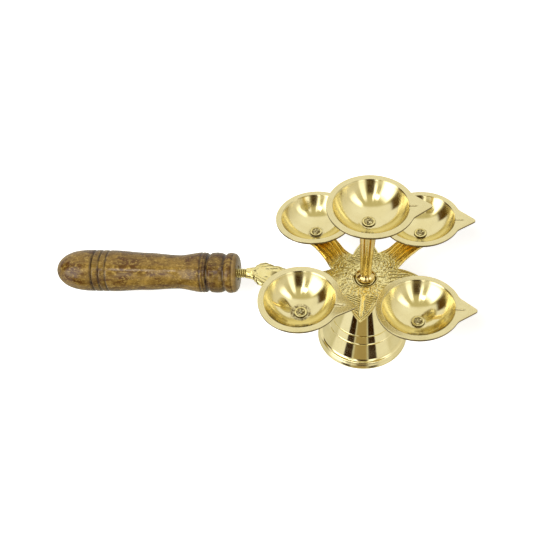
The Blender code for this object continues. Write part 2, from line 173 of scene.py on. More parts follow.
def filleted(points):
    """(radius, height) points; a third number rounds that corner with an arc-like curve."""
    out = []
    count = len(points)
    for i, point in enumerate(points):
        here = Vector(point[:2])
        if len(point) < 3 or i in (0, count - 1):
            out.append(tuple(here))
            continue
        before = Vector(points[i - 1][:2]) - here
        after = Vector(points[i + 1][:2]) - here
        cut = min(point[2], before.length * 0.48, after.length * 0.48)
        a = here + before.normalized() * cut
        b = here + after.normalized() * cut
        for k in range(6):
            t = k / 5
            out.append(tuple(a * (1 - t) ** 2 + here * 2 * t * (1 - t) + b * t * t))
    return out


# ---------------------------------------------------------------- placings

def cup_frame(cup):
    """Matrix of a cup: origin in its rim plane, Z its own axis, X along its spout."""
    up = Vector((tan(radians(cup.lean_x)), tan(radians(cup.lean_y)), 1))
    up.normalize()
    along = Vector((cos(radians(cup.turn)), sin(radians(cup.turn)), 0))
    along = (along - up * along.dot(up)).normalized()
    matrix = Matrix((along, up.cross(along), up)).transposed().to_4x4()
    matrix.translation = Vector((AXIS_X + cup.x, cup.y, cup.height))
    return matrix


def seat_frame(cup):
    """Matrix of a cup's fastening: its own frame, moved so that the bore meets what it fastens to."""
    matrix = cup_frame(cup)
    if cup.name == "top":
        up = matrix.col[2].xyz
        off = Vector((AXIS_X, 0, 0)) - matrix.translation
        height = -(CUP_DEPTH * cup.size + off.x * up.x + off.y * up.y) / up.z
        seat = matrix.translation + Vector((off.x, off.y, height))
        matrix.translation = seat + up * CUP_DEPTH * cup.size
    return matrix


def handle_frame():
    """Matrix of the handle: origin at its front face, Z along its axis to the butt."""
    matrix = Euler((0, -radians(90 + HANDLE_DROP), 0)).to_matrix().to_4x4()
    matrix.translation = Vector((AXIS_X + HANDLE_X, 0, HANDLE_Z))
    return matrix


AXIS_FRAME = Matrix.Translation(Vector((AXIS_X, 0, 0)))


# ---------------------------------------------------------------- meshes

# these two are one casting with the piece star_plate, which stands for the CAD node of all three
PARTS_OF_STAR = ("handle_arm", "tang_thread")
SAME_POINT = 0.0000015               # metres


def collection_named(name):
    made = bpy.data.collections.new(name)
    bpy.context.scene.collection.children.link(made)
    return made


LOOKS = collection_named("looks")
STAGE = collection_named("stage")


def piece(name, verts, faces, matrix, body, material, values=None, sharp=35):
    """A mesh piece in millimetres, placed by a matrix in millimetres, riding on a body.

    It stands for the CAD node of its own name, except for the parts of the star casting."""
    mesh = bpy.data.meshes.new(name)
    mesh.from_pydata((np.asarray(verts, float) * MM).tolist(), [], faces)
    mesh.validate()
    for key, numbers in (values or {}).items():
        layer = mesh.attributes.new(key, "FLOAT", "POINT")
        layer.data.foreach_set("value", np.asarray(numbers, np.float32))
    bm = bmesh.new()
    bm.from_mesh(mesh)
    bmesh.ops.remove_doubles(bm, verts=bm.verts, dist=SAME_POINT)
    bmesh.ops.recalc_face_normals(bm, faces=bm.faces)
    bm.to_mesh(mesh)
    bm.free()
    mesh.shade_smooth()
    mesh.set_sharp_from_angle(angle=radians(sharp))
    mesh.materials.append(material)
    obj = bpy.data.objects.new(name, mesh)
    LOOKS.objects.link(obj)
    placed = matrix.copy()
    placed.translation = matrix.translation * MM
    obj.matrix_world = placed
    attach(obj, body)
    if name not in PARTS_OF_STAR:
        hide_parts(name)
    return obj


def turned(profile, angles, closed):
    """Points and faces of (radius, height) rows turned round Z; a radius of 0 is one point."""
    rows, verts, faces = [], [], []
    count = len(angles)
    for r, z in profile:
        if abs(r) < 1e-9:
            rows.append([len(verts)] * count)
            verts.append((0, 0, z))
        else:
            rows.append(list(range(len(verts), len(verts) + count)))
            verts += [(r * cos(a), r * sin(a), z) for a in angles]
    pairs = list(zip(rows, rows[1:])) + ([(rows[-1], rows[0])] if closed else [])
    for upper, lower in pairs:
        for i in range(count):
            j = (i + 1) % count
            ring = [upper[i], upper[j], lower[j], lower[i]]
            face = [v for k, v in enumerate(ring) if v != ring[k - 1]]
            if len(set(face)) > 2:
                faces.append(face)
    return np.array(verts, float), faces


def even(steps):
    return [2 * pi * i / steps for i in range(steps)]


def turned_piece(name, profile, steps, closed, matrix, body, material, shape=None,
                 values=None, sharp=35):
    verts, faces = turned(profile, even(steps), closed)
    if shape is not None:
        verts = shape(verts)
    numbers = {key: rule(verts) for key, rule in (values or {}).items()}
    return piece(name, verts, faces, matrix, body, material, numbers, sharp)


def radius_of(verts):
    return np.hypot(verts[:, 0], verts[:, 1])


def widened(verts, scale):
    """The points with their distance from the Z axis scaled."""
    out = verts.copy()
    out[:, :2] *= scale[:, None]
    return out


def grid_faces(rows, count, closed):
    """Faces between rows of count points each; closed joins the last row to the first."""
    faces = []
    for i in range(rows if closed else rows - 1):
        here, after = i * count, (i + 1) % rows * count
        for k in range(count):
            j = (k + 1) % count
            faces.append([here + k, here + j, after + j, after + k])
    return faces


def flat_points(x, y):
    return np.stack([x, y, 0 * x], 1)


def threaded(verts, low, high, pitch, depth, reach):
    """Cuts a helical thread in the points nearest the axis radius reach, between two heights."""
    r = radius_of(verts)
    turn = np.arctan2(verts[:, 1], verts[:, 0]) / (2 * pi)
    saw = np.abs(((verts[:, 2] / pitch - turn) % 1) - 0.5) * 2
    cut = depth * ramp(0.12, 0.88, saw)
    cut *= ramp(low - pitch, low, verts[:, 2]) * (1 - ramp(high, high + pitch, verts[:, 2]))
    cut *= np.abs(r - reach) < 0.2
    return widened(verts, np.where(r > 0.01, (r - cut) / np.maximum(r, 0.01), 1))


# ---------------------------------------------------------------- materials

# a Mix node has one pair of inputs for each kind of data; these are the colour ones
MIX_A, MIX_B, MIX_RESULT = 6, 7, 2


class Nodes:
    """A node tree with short ways to add nodes; an input takes a number, a colour or a socket."""

    def __init__(self, owner):
        owner.use_nodes = True
        self.tree = owner.node_tree

    def fill(self, node, values):
        for key, value in values.items():
            socket = node.inputs[key]
            if isinstance(value, bpy.types.NodeSocket):
                self.tree.links.new(value, socket)
            elif socket.type == "RGBA":
                socket.default_value = (*value, 1)
            else:
                socket.default_value = value

    def new(self, kind, values, output=0, **settings):
        """A new node's output."""
        node = self.tree.nodes.new("ShaderNode" + kind)
        for key, value in settings.items():
            setattr(node, key, value)
        self.fill(node, values)
        return node.outputs[output]

    def math(self, operation, a, b=0):
        return self.new("Math", {0: a, 1: b}, operation=operation)

    def plus(self, a, b):
        return self.math("ADD", a, b)

    def times(self, a, b):
        return self.math("MULTIPLY", a, b)

    def noise(self, vector, scale, detail=3, roughness=0.5, distortion=0):
        return self.new("TexNoise", {"Vector": vector, "Scale": scale, "Detail": detail,
                                     "Roughness": roughness, "Distortion": distortion})

    def spread(self, value, low, high, to_low=0, to_high=1):
        ends = {"From Min": low, "From Max": high, "To Min": to_low, "To Max": to_high}
        return self.new("MapRange", {"Value": value, **ends}, interpolation_type="SMOOTHSTEP")

    def attribute(self, name):
        return self.new("Attribute", {}, "Fac", attribute_name=name, attribute_type="GEOMETRY")

    def mix(self, factor, a, b):
        return self.new("Mix", {"Factor": factor, MIX_A: a, MIX_B: b}, MIX_RESULT, data_type="RGBA")

    def bumped(self, height, distance, strength=1, normal=None):
        values = {"Strength": strength, "Distance": distance, "Height": height}
        if normal is not None:
            values["Normal"] = normal
        return self.new("Bump", values)

    def parts(self, vector):
        """The x, y and z of a vector, and its distance from the Z axis."""
        split = self.new("SeparateXYZ", {0: vector}).node
        x, y, z = split.outputs
        return x, y, z, self.math("SQRT", self.plus(self.times(x, x), self.times(y, y)))


class Surface(Nodes):
    """The node tree of a new material, with the shader's plain values set on its own sockets."""

    def __init__(self, name, values):
        self.material = bpy.data.materials.new(name)
        super().__init__(self.material)
        self.shader = self.tree.nodes["Principled BSDF"]
        self.coords = self.new("TexCoord", {}, "Object")
        self.fill(self.shader, values)

    def stretched(self, factors):
        return self.new("Mapping", {"Scale": factors, "Vector": self.coords}, vector_type="POINT")

    def round_axis(self, across, along):
        """Coordinates of (radius, height, angle): lines that a lathe leaves."""
        x, y, z, radius = self.parts(self.coords)
        return self.new("CombineXYZ", {0: self.times(radius, across),
                                       1: self.times(z, across),
                                       2: self.times(self.math("ARCTAN2", y, x), along)})

    def finish(self, colour, roughness=0.7, normal=None):
        self.fill(self.shader, {"Base Color": colour, "Roughness": roughness})
        if normal is not None:
            self.fill(self.shader, {"Normal": normal})
        return self.material


def brass_turned(name, light, dark, shine, satin, stretch):
    """Lathe-turned brass: fine rings, faint tarnish, and satin or darkened where the mesh says so; on
    the cups the darkening is partly tarnish in the beaten ground and partly painted dark reflection
    near the mouth, on the lip and at the rim edge.
    """
    n = Surface(name, {"Metallic": 1, "Anisotropic": stretch})
    n.fill(n.shader, {"Tangent": n.new("Tangent", {}, direction_type="UV_MAP", uv_map="turning")})
    cloud = n.noise(n.coords, 90, 5, 0.6)
    tarnish = n.noise(n.coords, 420, 4, 0.65)
    rings = n.noise(n.round_axis(3200, 0.6), 1, 2, 0.6)
    colour = n.mix(n.spread(cloud, 0.35, 0.7), light, dark)
    colour = n.mix(n.spread(tarnish, 0.6, 0.8, 0, 0.3), colour, tuple(0.6 * c for c in dark))
    # darkening from the mesh: tarnish, and on the cups painted dark reflection near the mouth and rim
    # edge
    age_and_shade = n.attribute("aged_and_shaded")
    colour = n.mix(age_and_shade, colour, AGED_AND_SHADED)
    worn = n.plus(n.spread(cloud, 0.3, 0.75, shine * 0.8, shine * 1.35),
                  n.times(n.attribute("satin"), satin - shine))
    worn = n.plus(worn, n.spread(rings, 0.3, 0.7, -0.012, 0.018))
    worn = n.plus(worn, n.times(age_and_shade, 0.2))
    normal = n.bumped(rings, 0.000004, 0.6)
    normal = n.bumped(n.noise(n.coords, 160, 2), 0.00004, 0.5, normal)
    return n.finish(colour, worn, normal)


def brass_cast(name, light, dark, pit, golden):
    """Cast and chased brass: bright high spots, brown cuts, and golden-brown arms; the arms'
    golden-brown is painted reflection and shade, and the cuts also carry a painted shadow ring round
    the post's foot and painted shade along the outline.
    """
    n = Surface(name, {"Metallic": 1})
    relief = n.attribute("relief")
    cloud = n.noise(n.coords, 110, 5, 0.6)
    grain = n.noise(n.coords, 1100, 4, 0.65)
    colour = n.mix(n.spread(cloud, 0.3, 0.72), light, dark)
    # golden-brown where the mesh says so: painted reflection and shade on the arms
    age_and_shade = n.times(n.attribute("aged_and_shaded"), n.spread(cloud, 0.2, 0.8, 1.1, 0.75))
    colour = n.mix(age_and_shade, colour, golden)
    cut = n.plus(relief, n.times(n.math("SUBTRACT", grain, 0.5), 0.55))
    colour = n.mix(n.spread(cut, 0.15, 0.8), pit, colour)
    worn = n.plus(n.spread(relief, 0, 0.9, 0.42, 0.17), n.spread(grain, 0.35, 0.7, -0.02, 0.1))
    normal = n.bumped(grain, 0.00009, 0.6)
    return n.finish(colour, worn, normal)


def brass_hammered(name):
    """Peened brass: small dents, dull and dark between them."""
    n = Surface(name, {"Metallic": 1})
    cells = n.new("TexVoronoi", {"Scale": 750, "Vector": n.coords}, "Distance", feature="SMOOTH_F1")
    grain = n.noise(n.coords, 900, 4, 0.7)
    colour = n.mix(n.spread(grain, 0.42, 0.64), (0.15, 0.11, 0.04), (0.88, 0.79, 0.44))
    worn = n.spread(grain, 0.3, 0.7, 0.40, 0.14)
    normal = n.bumped(cells, 0.0005, 0.8)
    normal = n.bumped(grain, 0.0003, 0.7, normal)
    return n.finish(colour, worn, normal)


def steel_plated(name):
    n = Surface(name, {"Metallic": 1})
    cloud = n.noise(n.coords, 240, 5, 0.65)
    colour = n.mix(n.spread(cloud, 0.35, 0.7), (0.66, 0.66, 0.63), (0.42, 0.40, 0.35))
    worn = n.spread(cloud, 0.3, 0.75, 0.24, 0.5)
    return n.finish(colour, worn, n.bumped(cloud, 0.0001, 0.4))


def wood_turned(name):
    """Varnished brown wood: mottled grain, gold flecks, and burned rings where the mesh says so."""
    n = Surface(name, {"Coat Weight": 0.9, "Coat Roughness": 0.12, "Coat IOR": 1.45,
                       "Specular IOR Level": 0})
    fibres = n.noise(n.stretched((520, 520, 120)), 1, 6, 0.65, 0.5)
    pores = n.noise(n.stretched((1700, 1700, 650)), 1, 3, 0.6)
    cloud = n.noise(n.stretched((95, 95, 60)), 1, 5, 0.6, 0.8)
    flecks = n.noise(n.stretched((620, 620, 420)), 1, 5, 0.7, 0.6)
    red = n.noise(n.stretched((160, 160, 90)), 1, 4, 0.6, 0.6)
    colour = n.mix(n.spread(cloud, 0.34, 0.66), (0.082, 0.040, 0.007), (0.235, 0.142, 0.027))
    colour = n.mix(n.spread(red, 0.48, 0.64, 0, 0.85), colour, (0.05, 0.014, 0.003))
    colour = n.mix(n.spread(fibres, 0.48, 0.64, 0, 0.5), colour, (0.07, 0.033, 0.007))
    colour = n.mix(n.spread(flecks, 0.50, 0.64, 0, 0.6), colour, (0.37, 0.25, 0.06))
    colour = n.mix(n.spread(pores, 0.52, 0.66, 0, 0.6), colour, (0.06, 0.03, 0.008))
    colour = n.mix(n.attribute("bare"), colour, (0.33, 0.22, 0.08))
    colour = n.mix(n.attribute("burn"), colour, (0.014, 0.006, 0.003))
    worn = n.spread(fibres, 0.3, 0.7, 0.36, 0.55)
    height = n.math("SUBTRACT", fibres, n.times(n.spread(pores, 0.56, 0.72), 0.7))
    return n.finish(colour, worn, n.bumped(height, 0.00009, 0.4))


def floor_paper(name):
    """Plain white paper that looks evenly white to the camera, with only a faint shadow."""
    n = Surface(name, {"Emission Color": (1, 1, 1), "Specular IOR Level": 0.1})
    colour = n.mix(n.noise(n.coords, 700, 3), (0.82, 0.82, 0.82), (0.84, 0.84, 0.84))
    seen = n.new("LightPath", {}, "Is Camera Ray")
    n.fill(n.shader, {"Emission Strength": n.times(seen, 0.6)})
    return n.finish(n.mix(seen, (0.35, 0.34, 0.32), colour))


# dark colour for tarnish and for the painted dark reflection near the cups' mouths and rim edges
AGED_AND_SHADED = (0.19, 0.135, 0.055)
MIRROR = brass_turned("brass_mirror", (0.90, 0.81, 0.46), (0.85, 0.75, 0.40), 0.098, 0.24, 0.85)
CONE = brass_turned("brass_cone", (0.90, 0.81, 0.46), (0.85, 0.75, 0.40), 0.10, 0.24, 0.5)
POST = brass_turned("brass_post", (0.89, 0.73, 0.35), (0.82, 0.63, 0.26), 0.11, 0.24, 0.5)
# the last colour is the arms' golden-brown: painted reflection and shade
CAST = brass_cast("brass_cast", (0.99, 0.89, 0.46), (0.89, 0.76, 0.31), (0.14, 0.095, 0.02),
                  (0.90, 0.58, 0.08))
HAMMERED = brass_hammered("brass_peened")
STEEL = steel_plated("steel_zinc_plate")
WOOD = wood_turned("wood_varnish")


def read(items, key, width, kind=float):
    """One property of all of a mesh's vertices, loops or faces, as an array of rows."""
    numbers = np.zeros(len(items) * width, kind)
    items.foreach_get(key, numbers)
    return numbers.reshape(-1, width)


def mark_turning(obj):
    """A UV map whose u runs along the profile and v round the axis, for the lathe's lines."""
    mesh = obj.data
    layer = mesh.uv_layers.new(name="turning")
    index = read(mesh.loops, "vertex_index", 1, int)[:, 0]
    owner = np.repeat(np.arange(len(mesh.polygons)), read(mesh.polygons, "loop_total", 1, int)[:, 0])
    co = read(mesh.vertices, "co", 3)[index] / MM
    centre = read(mesh.polygons, "center", 3)[owner] / MM
    facing = read(mesh.polygons, "normal", 3)[owner]
    seam = np.arctan2(centre[:, 1], centre[:, 0])
    angle = seam + (np.arctan2(co[:, 1], co[:, 0]) - seam + pi) % (2 * pi) - pi
    along = np.where(radius_of(facing) > 0.72, co[:, 2], radius_of(co))
    uv = np.stack([along / 100, angle / (2 * pi)], 1)
    layer.data.foreach_set("uv", uv.ravel())


# ---------------------------------------------------------------- foot

def build_base():
    low, top = BASE_BAND, BASE_HEIGHT
    cone = []
    count = 60
    for i in range(count + 1):
        t = i / count
        z = top - 0.8 - (top - 0.8 - low - 0.4) * t
        share = (top - z) / (top - low)
        r = BASE_CONE_TOP + (BASE_CONE_FOOT - BASE_CONE_TOP) * share
        cone.append([r - BASE_WAIST * sin(pi * share), z])
    outer = []
    for (r0, z0), (r1, z1) in zip(cone, cone[1:]):
        outer.append((r0, z0))
        for line in BASE_LINES:
            if z1 <= line < z0:
                for off, cut in ((0.55, 0), (0.32, -0.06), (0.2, 0.1), (0, 0.42), (-0.2, 0.1),
                                 (-0.32, -0.06), (-0.55, 0)):
                    z = line + off
                    r = r0 + (r1 - r0) * (z0 - z) / (z0 - z1)
                    outer.append((r - cut, z))
    outer.append(tuple(cone[-1]))
    outer = sorted(outer, key=lambda p: -p[1])
    bore = ROD_RADIUS + 0.5
    head = top - BASE_HEAD
    inner = [(r - BASE_WALL, z) for r, z in cone if z < head - 0.6][::-2]
    profile = [(bore, top), (BASE_CONE_TOP - 0.7, top), (BASE_CONE_TOP - 0.25, top - 0.2)]
    profile += outer
    profile += filleted([outer[-1], (BASE_CONE_FOOT + 0.5, low - 0.15, 0.3),
                         (BASE_CONE_FOOT + 1.4, low - 0.5, 0.5),
                         (BASE_RADIUS - 1, low - 1.5, 0.8), (BASE_RADIUS - 0.1, 2, 1),
                         (BASE_RADIUS, 0, 0.5), (BASE_RADIUS - 3.2, 0, 0.3), inner[0]])[1:]
    profile += inner[1:]
    profile += [(inner[-1][0] - 1, head), (bore, head)]

    def shape(verts):
        wave = rough(verts * (1, 1, 0.35), 16, 1) * 0.05
        r = radius_of(verts)
        return widened(verts, 1 + wave / np.maximum(r, 1) * ramp(6, 12, r))

    def satin(verts):
        wall = [BASE_RADIUS - 2.6, BASE_CONE_FOOT - 1.3, BASE_CONE_TOP - 1.3]
        inside = radius_of(verts) < np.interp(verts[:, 2], [0, BASE_BAND, BASE_HEIGHT], wall)
        band = ramp(low - 0.2, low - 0.7, verts[:, 2])
        return np.maximum(inside, 0.7 * band)

    mark_turning(turned_piece("base", profile, 160, True, AXIS_FRAME, LAMP, CONE,
                              shape, {"satin": satin}, 30))


# ---------------------------------------------------------------- star casting

def plate_level(x):
    """Height of the leaning plate's top at a distance x from the lamp axis."""
    return PLATE_TOP + x * tan(radians(PLATE_LEAN))


def leaf_half(t):
    return LEAF_FULL * (1 - np.exp(-np.maximum(t, 0) / LEAF_RATE))


class Arm:
    """One arm of the casting, in coordinates d along it from its hub and s across it."""

    def __init__(self, cup):
        place = cup_frame(cup)
        self.up = place.col[2].xyz
        self.end = place.translation - self.up * (CUP_DEPTH + CUP_WALL + GAP)
        toward = atan2(self.end.y, self.end.x - AXIS_X) + radians(ARM_TURN)
        self.hub = np.array([ARM_HUB * cos(toward), ARM_HUB * sin(toward)])
        run = np.array([self.end.x - AXIS_X, self.end.y]) - self.hub
        self.length = float(np.hypot(*run))
        self.run = run / self.length
        self.across = np.array([-self.run[1], self.run[0]])

    def local(self, x, y):
        dx, dy = x - self.hub[0], y - self.hub[1]
        return dx * self.run[0] + dy * self.run[1], dx * self.across[0] + dy * self.across[1]

    def half(self, d):
        wide = ARM_WAIST + (ARM_ROOT - ARM_WAIST) * (1 - ramp(-4, 9, d))
        return (wide + (2 * PAD_RADIUS - 0.6 - ARM_WAIST) * ramp(14, self.length - 2, d)) / 2

    def holds(self, x, y):
        d, s = self.local(x, y)
        pad = np.hypot(d - self.length, s) < PAD_RADIUS
        return pad | ((d > -8) & (d < self.length) & (np.abs(s) < self.half(d)))

    def lift(self, x, y):
        """Height above the plate's plane that the arm gives a point, and its crown."""
        d, s = self.local(x, y)
        slope = self.up.x * (x + AXIS_X - self.end.x) + self.up.y * (y - self.end.y)
        seated = self.end.z - slope / self.up.z
        half = self.half(d)
        near = 1 - ramp(0, 1.6, np.abs(s) - half)
        rise = ramp(0, 0.62 * self.length, d) * near
        crown = 0.9 * ramp(-1, 8, d) * (1 - ramp(self.length - 13, self.length - 8, d))
        return (seated - plate_level(x)) * rise - crown * np.clip(np.abs(s) / half, 0, 1) ** 2 * near


ARMS = [Arm(cup) for cup in CUPS[1:]]


def in_star(x, y):
    angle = np.arctan2(y, x)
    reach = np.hypot(x, y)
    inside = reach < PLATE_RADIUS
    for middle_angle in LEAF_MIDDLES:
        a = angle - radians(middle_angle)
        t = LEAF_TIP - reach * np.cos(a)
        inside |= (t > 0) & (np.abs(reach * np.sin(a)) < leaf_half(t)) & (np.cos(a) > 0.3)
    for arm in ARMS:
        inside |= arm.holds(x, y)
    return inside


def star_outline():
    """The casting's edge as seen from above, read out along rays from the lamp axis."""
    angles = np.radians(np.arange(0, 360, 0.3))
    reach = np.arange(PLATE_RADIUS - 0.3, 66, 0.04)
    far = reach[None, :] * in_star(reach[None, :] * np.cos(angles)[:, None],
                                   reach[None, :] * np.sin(angles)[:, None])
    soft = far.max(1)
    for _ in range(2):
        soft = (np.roll(soft, 1) + soft * 2 + np.roll(soft, -1)) / 4
    return np.stack([soft * np.cos(angles), soft * np.sin(angles)], 1)


def groove(distance, half):
    """1 at the middle of a cut line, 0 outside its half width."""
    return 1 - ramp(0, half, np.abs(distance))


def scribble(x, y, size, width, seed):
    """Fine wandering lines, as a chaser leaves between the larger forms."""
    return 1 - ramp(0, width, np.abs(rough(flat_points(x, y), size, seed)))


def chasing(x, y, edge):
    """Depth of the hand-chased pattern at points of the casting, 0 high to 1 deep, with a deep dark
    ring of painted shadow round the post's foot.
    """
    flat = flat_points(x, y)
    true_x, true_y = x, y
    x = x + 0.55 * rough(flat, 3.4, 31)
    y = y + 0.55 * rough(flat, 3.4, 32)
    reach = np.hypot(x, y)
    turn = np.arctan2(y, x) / (2 * pi)
    fine = scribble(true_x, true_y, 2.1, 0.13, 33)
    cut = np.zeros_like(x)
    in_leaf = np.zeros_like(x, bool)
    for k, middle_angle in enumerate(LEAF_MIDDLES):
        a = turn * 2 * pi - radians(middle_angle)
        t = LEAF_TIP - reach * np.cos(a)
        s = reach * np.sin(a)
        here = (np.cos(a) > 0.3) & (t < 21) & (np.abs(s) < leaf_half(t) + 0.5)
        in_leaf |= here
        border = groove(edge - 1.5, 0.55)
        if k == 1:
            fan = s / np.maximum(leaf_half(t), 0.5)
            lines = groove((fan * 3.2 + 0.03 * t) % 1 - 0.5, 0.36) * (edge > 3)
        else:
            lines = groove((t * 0.95 - np.abs(s) * 0.4) % 1.5 - 0.75, 0.6) * (edge > 2.2)
            lines = 1.2 * lines * (np.abs(s) > 1.6)
        rib = groove(np.abs(s) - 1.4, 0.4) * (t > 4) * (t < 17)
        shoulder = 0.6 * groove(t - 20.4 + 0.25 * np.abs(s), 0.5)
        lines = np.maximum(lines, 0.6 * fine * (k == 1) * (edge > 2.4))
        cut = np.where(here, np.maximum.reduce([border, lines, rib, shoulder]), cut)
    on_arm = np.zeros_like(x, bool)
    for arm in ARMS:
        d, s = arm.local(x, y)
        here = arm.holds(x, y) & (d > 2.5)
        on_arm |= here
        leaf = (np.abs(s) / np.maximum(arm.half(d), 1) * 2.6 - d * 0.03) % 1 - 0.5
        vein = groove(leaf, 0.34) * (edge > 1.2)
        middle_line = groove(np.abs(s) - 0.7, 0.45)
        side = groove(edge - 1.2, 0.5)
        cut = np.where(here, np.maximum.reduce([0.85 * vein, middle_line, side]), cut)
        ring = np.hypot(d + 6, s * 0.95)
        for radius in (3, 4.6, 6.2, 7.7):
            arc = groove(ring - radius, 0.45) * (d > -8.5) * (d < 3) * (np.abs(s) < 8)
            cut = np.maximum(cut, 0.8 * arc * (reach > 13))
        petal = groove((np.arctan2(s, d + 6) * 4.2) % 1 - 0.5, 0.22) * (ring > 6.2) * (ring < 7.7)
        cut = np.maximum(cut, 0.7 * petal * (reach > 13) * (d > -4))
    field = ~in_leaf & ~on_arm
    petals = 14
    swirl = (turn * petals + 0.09 * (reach - 8)) % 1
    lobe = 12 - 1.8 * np.abs(swirl - 0.5) ** 1.4 * 2
    flower = np.maximum(0.8 * groove(reach - lobe, 0.5), groove(swirl - 0.5, 0.16) * (reach < 11))
    outer = (turn * 32 - 0.16 * (reach - 12)) % 1
    strokes = groove(outer - 0.5, 0.3) * (reach > 12.4) * ramp(20.5, 19, reach)
    strokes = np.maximum(0.75 * strokes, 0.85 * fine * (reach > 9))
    cut = np.maximum(cut, np.maximum(flower * (reach > 8.2) * (reach < 12.6), strokes) * field)
    # a chased ring at 8 mm, and at 6.7 mm a cut ring made wide and dark as painted shadow under the
    # post's foot
    ring_line_and_foot_shadow = np.maximum(0.7 * groove(reach - 8, 0.55), 1.5 * groove(reach - 6.7, 0.9))
    cut = np.clip(np.maximum(0.75 * cut, ring_line_and_foot_shadow), 0, 1)
    ground = ramp(12.6, 13.6, reach) * ramp(0.3, 0, cut) * field
    return cut, ground * (edge > 1.6)


def stipple(points, size, seed):
    """Small punched dots, 0 to 1, at points in millimetres."""
    near = [noise.voronoi(Vector((p[0], p[1], seed)) / size)[0][0] for p in points]
    return 1 - ramp(0.12, 0.42, np.array(near))


def star_height(x, y):
    z = plate_level(x)
    for arm in ARMS:
        z = z + arm.lift(x, y)
    return z


def ring_points(centre, radius, count):
    return [(centre[0] + radius * cos(a), centre[1] + radius * sin(a)) for a in even(count)]


def triangulated(loops, holes, spacing, margin, outer):
    """Flat triangles that fill the outer loop except the holes, over a grid of points.

    spacing is the grid's, and no grid point lies closer to a loop than margin."""
    points, edges = [], []
    for loop in loops:
        start = len(points)
        points += [Vector(p) for p in loop]
        count = len(loop)
        edges += [(start + i, start + (i + 1) % count) for i in range(count)]
    low, high = outer.min(0), outer.max(0)
    row_step = spacing * 0.866       # rows of equal-sided triangles
    gx, gy = np.meshgrid(np.arange(low[0], high[0], spacing), np.arange(low[1], high[1], row_step))
    gx = gx + (np.arange(gx.shape[0]) % 2 * spacing / 2)[:, None]
    grid = np.stack([gx.ravel(), gy.ravel()], 1)
    grid = grid[in_star(*grid.T)]
    gaps = gaps_to([p for loop in loops for p in loop], grid)
    points += [Vector(p) for p in grid[gaps > margin]]
    verts, _, faces, _, _, _ = delaunay_2d_cdt(points, edges, [], 1, 1e-5)
    kept = []
    for face in faces:
        cx = sum(verts[i].x for i in face) / len(face)
        cy = sum(verts[i].y for i in face) / len(face)
        if all(hypot(cx - hx, cy - hy) > radius for (hx, hy), radius in holes):
            kept.append(face)
    return np.array([(v.x, v.y) for v in verts]), kept


def tree_of(points):
    tree = kdtree.KDTree(len(points))
    for i, p in enumerate(points):
        tree.insert((p[0], p[1], 0), i)
    tree.balance()
    return tree


def gaps_to(outline, points):
    """Distance of each point from the nearest outline point."""
    tree = tree_of(outline)
    return np.array([tree.find((x, y, 0))[2] for x, y in points])


def build_star():
    outer = star_outline()
    holes = [((0, 0), ROD_RADIUS + 0.4)] + [((arm.end.x - AXIS_X, arm.end.y), 2) for arm in ARMS]
    loops = [outer.tolist()] + [ring_points(centre, radius, 24) for centre, radius in holes]
    inside_holes = [(centre, radius * 0.98) for centre, radius in holes]
    flat, faces = triangulated(loops, inside_holes, 0.44, 0.22, outer)
    edge = gaps_to(outer, flat)
    x, y = flat[:, 0], flat[:, 1]
    cut, ground = chasing(x, y, edge)
    seats = np.minimum.reduce([np.hypot(x - c[0], y - c[1]) for c, _ in holes[1:]])
    clear = ramp(5.5, 7, seats) * ramp(4.9, 5.6, np.hypot(x, y))
    dots = stipple(flat, 1.05, 3) * ground
    wander = rough(flat_points(x, y), 5, 2)
    depth = clear * (0.6 * cut * (0.85 + 0.3 * wander) + 0.26 * dots)
    top = star_height(x, y) + 0.06 * wander * clear - depth - 0.7 * (1 - ramp(0, 0.8, edge)) ** 2
    # the outline's last 0.3 mm is darkened as well: painted shade along the casting's edge
    relief = np.clip(1 - np.maximum(cut, 0.5 * dots) * clear - 0.4 * (edge < 0.3), 0, 1)
    # the arms turn golden-brown from their roots out: painted reflection and shade of the sloping arms
    aged_and_shaded = np.zeros(len(flat))
    for arm in ARMS:
        d, _ = arm.local(x, y)
        aged_and_shaded = np.maximum(aged_and_shaded, arm.holds(x, y) * ramp(0.5, 7, d))
    verts = list(zip(x + AXIS_X, y, top))
    under_flat, under_faces = triangulated(loops, inside_holes, 1.5, 0.7, outer)
    ux, uy = under_flat[:, 0], under_flat[:, 1]
    under_edge = gaps_to(outer, under_flat)
    under = star_height(ux, uy) - PLATE_THICK + 0.5 * (1 - ramp(0, 0.8, under_edge)) ** 2
    under = under + 0.08 * rough(flat_points(ux, uy), 3, 4)
    start = len(verts)
    verts += list(zip(ux + AXIS_X, uy, under))
    walls = wall_faces(flat, faces, under_flat, start)
    faces = faces + [[start + i for i in reversed(face)] for face in under_faces] + walls
    relief = np.concatenate([relief, np.full(len(under_flat), 0.8)])
    # the underside is tinted golden-brown as well
    aged_and_shaded = np.concatenate([aged_and_shaded, np.full(len(under_flat), 0.6)])
    piece("star_plate", verts, faces, Matrix.Identity(4), LAMP, CAST,
          {"relief": relief, "aged_and_shaded": aged_and_shaded}, 50)


def rim_edges(faces):
    """Edges that only one face uses, in that face's direction."""
    seen = {}
    for face in faces:
        for a, b in zip(face, face[1:] + face[:1]):
            if (b, a) in seen:
                del seen[(b, a)]
            else:
                seen[(a, b)] = True
    return list(seen)


def wall_faces(top, top_faces, under, start):
    """Faces that join two flat patches with the same edge points; start is the under one's first."""
    tree = tree_of(under)
    twin = {}
    walls = []
    for a, b in rim_edges([list(f) for f in top_faces]):
        for v in (a, b):
            if v not in twin:
                twin[v] = tree.find((top[v][0], top[v][1], 0))[1] + start
        walls.append([b, a, twin[a], twin[b]])
    return walls


